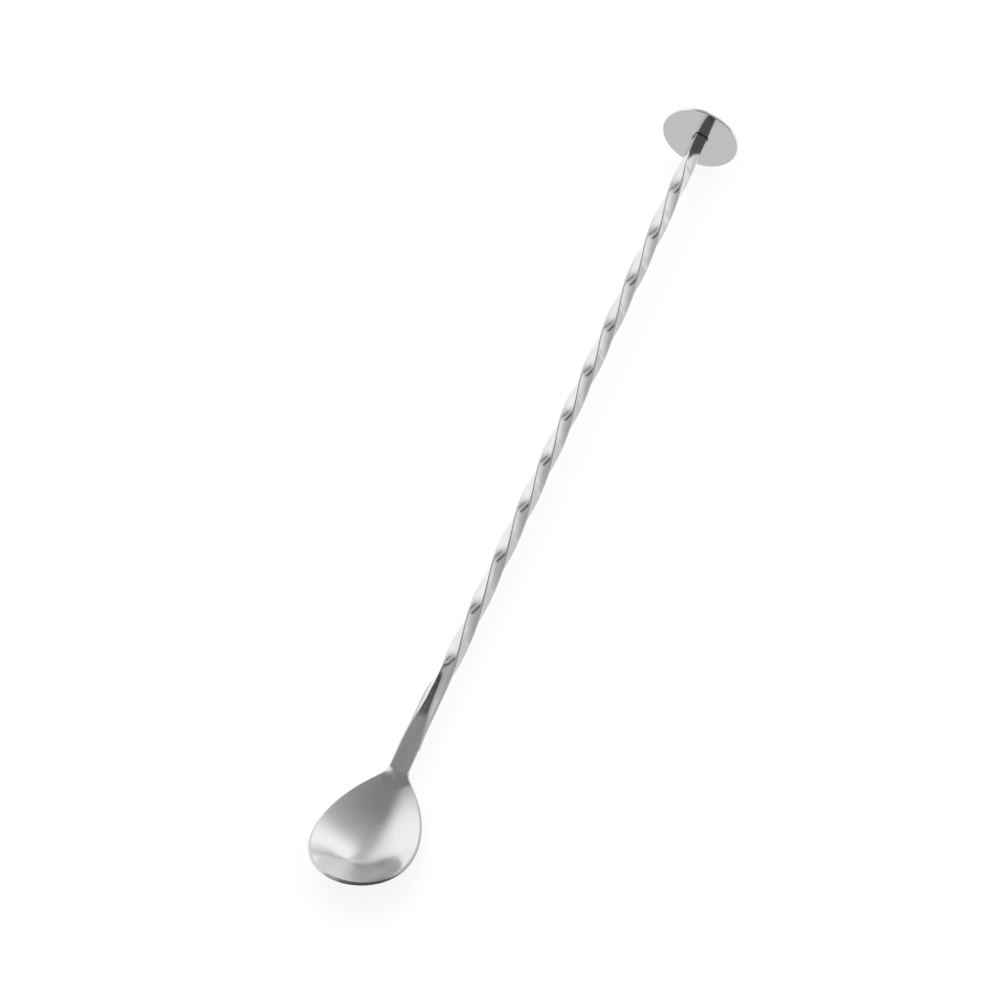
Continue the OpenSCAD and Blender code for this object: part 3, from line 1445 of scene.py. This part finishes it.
@dataclass(frozen=True)
class LightTent:
    """Half sphere of cloth that only reflections show.

    It has a bright panel low on the left, a grey roof that brightens away from the camera, with a
    dark seam and a soft fold, and a dark opening on the camera's side. A direction from its middle
    has parts x, y and z and a lean, its angle from upright about x, in degrees and positive to the
    right. A pair of numbers is where a share of one of these starts and where it is full.

    Attributes:
        radius: Radius of the tent, in metres.
        skirt: Depth of its edge below the floor, in metres.
        steps: Segments round the tent and rings of the whole sphere.
        roof: Tone of the roof above the spoon.
        roof_rise: Tone that it gains along x.
        roof_drop: Tone that it loses toward the bowl, between drop_x.
        far: Extra tone at the far end, between far_x and far_lean.
        right: Extra tone low on the right, between right_lean.
        panel: Tone of the panel on the left, between panel_lean.
        panel_fade: Tone that the panel loses at its far end, between panel_x.
        slant: Shift of the bands along x for each degree of lean.
        slant_lean: Lean at which the bands have no shift.
        bands: The seam and the fold.
        door: Direction of the opening, whose cosine goes between door_cos.
        door_dark: Share of the light that the opening takes.
        near_x: Where the low front starts, ahead of the bowl.
        near_way: Direction of the low front on the right, in x and y, between near_side.
        near_z: Heights between which the low front starts.
        near_dark: Share of the light that the low front takes.
        back_x: Where the patch high at the far left starts, with back_lean and back_z.
        back_dark: Share of the light that this patch takes.
        low_z: Heights between which the tent's foot starts, and low_x its places.
        low: Tone of the foot on the right.
        low_more: Extra tone of the foot on the left, between low_y.
    """

    radius: float = 2.4
    skirt: float = 0.01
    steps: Tuple[int, int] = (64, 32)
    roof: float = 0.313
    roof_rise: float = 0.434
    roof_drop: float = 0.061
    drop_x: Pair = (0.0, -0.2)
    far: float = 0.434
    far_x: Pair = (0.45, 0.85)
    far_lean: Pair = (-15.0, 18.0)
    right: float = 0.087
    right_lean: Pair = (30.0, 75.0)
    panel: float = 1.14
    panel_fade: float = 0.44
    panel_x: Pair = (0.6, 0.95)
    panel_lean: Pair = (-18.0, -58.0)
    slant: float = 0.0078
    slant_lean: float = -20.0
    bands: Tuple[Band, ...] = (
        Band(0.412, (0.055, 0.027), (-30.0, -23.0), (9.0, 2.0), 0.93),
        Band(0.635, (0.07, 0.0), (-40.0, -26.0), (4.0, -8.0), 0.68),
    )
    door: Point = (-0.545, -0.475, 0.69)
    door_cos: Pair = (0.84, 0.94)
    door_dark: float = 0.32
    near_x: Pair = (-0.45, -0.7)
    near_way: Pair = (-0.5, -0.87)
    near_side: Pair = (0.65, 0.95)
    near_z: Pair = (0.5, 0.3)
    near_dark: float = 0.7
    back_x: Pair = (0.78, 0.9)
    back_lean: Pair = (0.0, -20.0)
    back_z: Pair = (0.2, 0.4)
    back_dark: float = 0.28
    low_z: Pair = (0.25, 0.0)
    low_x: Pair = (-0.6, -0.3)
    low: float = 0.74
    low_more: float = 0.36
    low_y: Pair = (-0.1, 0.1)

    def tone(self, g: Graph) -> Sock:
        """Brightness of the tent by direction.

        Args:
            g: The tent material's graph.

        Returns:
            The tone, 1 for white.
        """
        unit = g.node("ShaderNodeVectorMath", {"operation": "NORMALIZE"}, {0: g.coordinates("Object")})
        x, y, z = g.parts(unit)
        lean = g.math("ARCTAN2", -y, z) * math.degrees(1.0)
        plain = self.roof + self.roof_rise * g.math("MAXIMUM", x, 0.0)
        plain = plain - self.roof_drop * g.step(x, *self.drop_x)
        plain = plain + self.far * g.step(x, *self.far_x) * g.step(lean, *self.far_lean)
        plain = plain + self.right * g.step(lean, *self.right_lean)
        panel = self.panel - self.panel_fade * g.step(x, *self.panel_x)
        tone = plain + (panel - plain) * g.step(lean, *self.panel_lean)
        across = x - self.slant * (lean - self.slant_lean)
        for band in self.bands:
            tone = tone * band.share(g, across, lean)
        ways = {0: unit, 1: self.door}
        facing = g.node("ShaderNodeVectorMath", {"operation": "DOT_PRODUCT"}, ways, "Value")
        tone = tone * (1 - self.door_dark * g.step(facing, *self.door_cos))
        ahead = g.step(x, *self.near_x)
        aside = g.step(self.near_way[0] * x + self.near_way[1] * y, *self.near_side)
        near = g.math("MAXIMUM", ahead, aside) * g.step(z, *self.near_z)
        back = g.step(x, *self.back_x) * g.step(lean, *self.back_lean) * g.step(z, *self.back_z)
        tone = tone * (1 - self.near_dark * near) * (1 - self.back_dark * back)
        share = g.step(z, *self.low_z) * g.step(x, *self.low_x) * (1 - aside)
        return tone + (self.low + self.low_more * g.step(y, *self.low_y) - tone) * share

    def build(self) -> None:
        """Hang the tent over the floor."""
        bm = bmesh.new()
        around, rings = self.steps
        bmesh.ops.create_uvsphere(bm, u_segments=around, v_segments=rings, radius=self.radius)
        bmesh.ops.bisect_plane(
            bm,
            geom=bm.verts[:] + bm.edges[:] + bm.faces[:],
            plane_co=(0.0, 0.0, -self.skirt),
            plane_no=(0.0, 0.0, 1.0),
            clear_inner=True,
        )
        made, g = new_material("tent_cloth")
        g.surface(g.light(self.tone(g)))
        hang("light_tent", bm, made, False)


@dataclass(frozen=True)
class FloorShadeSheet:
    """Glowing sheet on the floor that only reflections show, painted with the floor's light and shade:
    white on the left, grey painted shade on the right.

    Lengths are metres. A pair of numbers is where a share along x or y starts and where it is full.

    Attributes:
        size: Side of the card.
        lift: Height above the floor.
        grey: Tone of the painted shade on the right.
        far: Extra tone on the right beyond the disc, between far_x.
        white: Tone on the left, between left_y.
        front_x: Where the painted shade ahead of the bowl starts, with front_y.
        front_dark: Share of the light that this painted shade takes.
        foot_x: Where the white patch under the disc starts.
        foot_at: Place of its middle along y.
        foot_y: Distances from its middle between which it fades in.
    """

    size: float = 1.6
    lift: float = 0.00015
    grey: float = 0.74
    far: float = 0.26
    far_x: Pair = (0.11, 0.15)
    white: float = 1.1
    left_y: Pair = (-0.004, 0.004)
    front_x: Pair = (-0.118, -0.13)
    front_y: Pair = (0.024, 0.012)
    front_dark: float = 0.85
    foot_x: Pair = (0.108, 0.116)
    foot_at: float = 0.003
    foot_y: Pair = (0.018, 0.013)

    def tone(self, g: Graph) -> Sock:
        """Brightness of the painted sheet by place.

        Args:
            g: The card material's graph.

        Returns:
            The tone, 1 for white.
        """
        x, y, _ = g.parts(g.coordinates("Object"))
        # Painted shade: grey on the right and darker ahead of the bowl, for the spoon's shade on the floor
        # in reflections.
        right = self.grey + self.far * g.step(x, *self.far_x)
        sides = right + (self.white - right) * g.step(y, *self.left_y)
        front = g.step(x, *self.front_x) * g.step(y, *self.front_y)
        tone = sides * (1 - self.front_dark * front)
        foot = g.step(x, *self.foot_x) * g.step(g.math("ABSOLUTE", y - self.foot_at), *self.foot_y)
        return tone + (1 - tone) * foot

    def build(self) -> None:
        """Lay the painted sheet just above the floor."""
        bm = bmesh.new()
        bmesh.ops.create_grid(bm, x_segments=2, y_segments=2, size=self.size / 2.0)
        bmesh.ops.translate(bm, verts=bm.verts[:], vec=(0.0, 0.0, self.lift))
        made, g = new_material("painted_floor_shade")
        g.surface(g.light(self.tone(g)))
        hang("floor_shade_sheet", bm, made, False)


@dataclass
class Studio:
    """White floor, light tent, sheet of painted floor shade, lamp, world and camera.

    Attributes:
        bench: The table.
        floor_size: Side of the floor, in metres.
        paper: Tone of the floor's paper.
        glow: Share of the floor's white that is its own where it is looked at.
        world_level: Level of the world's light, which is white where it is looked at.
        lamp_size: Width of the lamp, in metres.
        lamp_power: Power of the lamp, in watts.
        lamp_at: Place of the lamp, in metres.
        azimuth: The camera's direction round the rod, in degrees.
        elevation: The camera's height above the rod, in degrees.
        distance: The camera's distance from its target, in millimetres.
        target: What the camera looks at, on the rod's axis in millimetres.
        lens_px: The lens as a count of the image's pixels.
        image_px: Width of the image, in pixels.
        sensor: Width of the camera's sensor, in millimetres.
        clip: Nearest and furthest distance that the camera sees, in metres.
    """

    bench: Bench
    floor_size: float = 5.0
    paper: float = 0.86
    glow: float = 0.86
    world_level: float = 0.95
    lamp_size: float = 0.9
    lamp_power: float = 5.4
    lamp_at: Point = (0.1, 0.35, 1.1)
    azimuth: float = -69.23
    elevation: float = 52.40
    distance: float = 1300.0
    target: Point = (-146.22, 7.41, 0.0)
    lens_px: float = 4698.4
    image_px: float = 1000.0
    sensor: float = 36.0
    clip: Pair = (0.05, 20.0)

    @staticmethod
    def seen(g: Graph) -> Sock:
        """Tell the rays that look at a surface straight, in metal or through glass.

        Args:
            g: Graph of the surface's material or of the world.

        Returns:
            1 for such a ray and 0 for any other.
        """
        straight = g.node("ShaderNodeLightPath", None, None, "Is Camera Ray")
        outputs = straight.out.node.outputs
        glossy = Sock(g, outputs["Is Glossy Ray"])
        through = Sock(g, outputs["Is Transmission Ray"])
        return g.math("MINIMUM", straight + glossy + through, 1.0)

    def floor(self) -> None:
        """Lay a plain white floor that keeps the spoon's shadow."""
        bm = bmesh.new()
        bmesh.ops.create_grid(bm, x_segments=2, y_segments=2, size=self.floor_size / 2.0)
        made, g = new_material("floor_white")
        paper = g.node("ShaderNodeBsdfDiffuse", None, {"Color": (self.paper, self.paper, self.paper, 1.0)})
        white = g.light((1.0, 1.0, 1.0, 1.0))
        mixed = g.node("ShaderNodeMixShader", None, {0: self.seen(g) * self.glow, 1: paper, 2: white})
        g.surface(mixed)
        hang("floor", bm, made, True)

    def lamp(self) -> None:
        """Hang one large soft lamp for the shadow on the floor."""
        data = bpy.data.lights.new("soft_lamp", "AREA")
        data.shape = "DISK"
        data.size = self.lamp_size
        data.energy = self.lamp_power
        piece = new_object("soft_lamp", data)
        piece.location = self.lamp_at
        piece.rotation_euler = (-piece.location).to_track_quat("-Z", "Y").to_euler()
        piece.visible_glossy = False

    def world(self) -> None:
        """Set an even white world."""
        made = bpy.data.worlds.new("studio")
        made.use_nodes = True
        g = Graph(made.node_tree)
        level = self.world_level + (1.0 - self.world_level) * self.seen(g)
        back = g.node("ShaderNodeBackground", None, {"Color": level, "Strength": 1.0})
        g.node("ShaderNodeOutputWorld", None, {"Surface": back})
        bpy.context.scene.world = made

    def camera(self) -> None:
        """Place the camera at the photograph's angle."""
        az = math.radians(self.azimuth)
        el = math.radians(self.elevation)
        back = Vector((math.sin(az) * math.cos(el), -math.cos(az) * math.cos(el), math.sin(el)))
        right = Vector((math.cos(az), math.sin(az), 0.0))
        up = back.cross(right)
        turn = self.bench.matrix.to_3x3().normalized()
        spot = self.bench.matrix @ (Vector(self.target) + back * self.distance)
        axes = Matrix((turn @ right, turn @ up, turn @ back)).transposed()
        data = bpy.data.cameras.new("camera")
        data.sensor_width = self.sensor
        data.lens = self.sensor * self.lens_px / self.image_px
        data.clip_start, data.clip_end = self.clip
        piece = new_object("camera", data)
        piece.matrix_world = Matrix.Translation(spot) @ axes.to_4x4()
        bpy.context.scene.camera = piece

    def build(self) -> None:
        """Set up the whole studio."""
        self.camera()
        self.world()
        self.floor()
        LightTent().build()
        FloorShadeSheet().build()
        self.lamp()
        bpy.context.scene.view_settings.view_transform = "Standard"


def main() -> None:
    """Build the spoon's pieces in order, then the studio."""
    logging.basicConfig(level=logging.INFO, format="%(name)s: %(message)s")
    rod = TwistedRod()
    disc = MuddlerDisc(rod)
    face = frame["record"]["mounts"][0]
    bench = Bench(face["axis"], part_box("muddler_disc"), (rod.gap + disc.disc_t) / 2.0)
    bowl = SpoonBowl(rod)
    rod.build(bench)
    bowl.build(bench)
    NeckWeld(rod, bowl).build(bench)
    disc.build(bench)
    DiscWeld(rod).build(bench)
    Studio(bench).build()


if __name__ == "__main__":
    main()
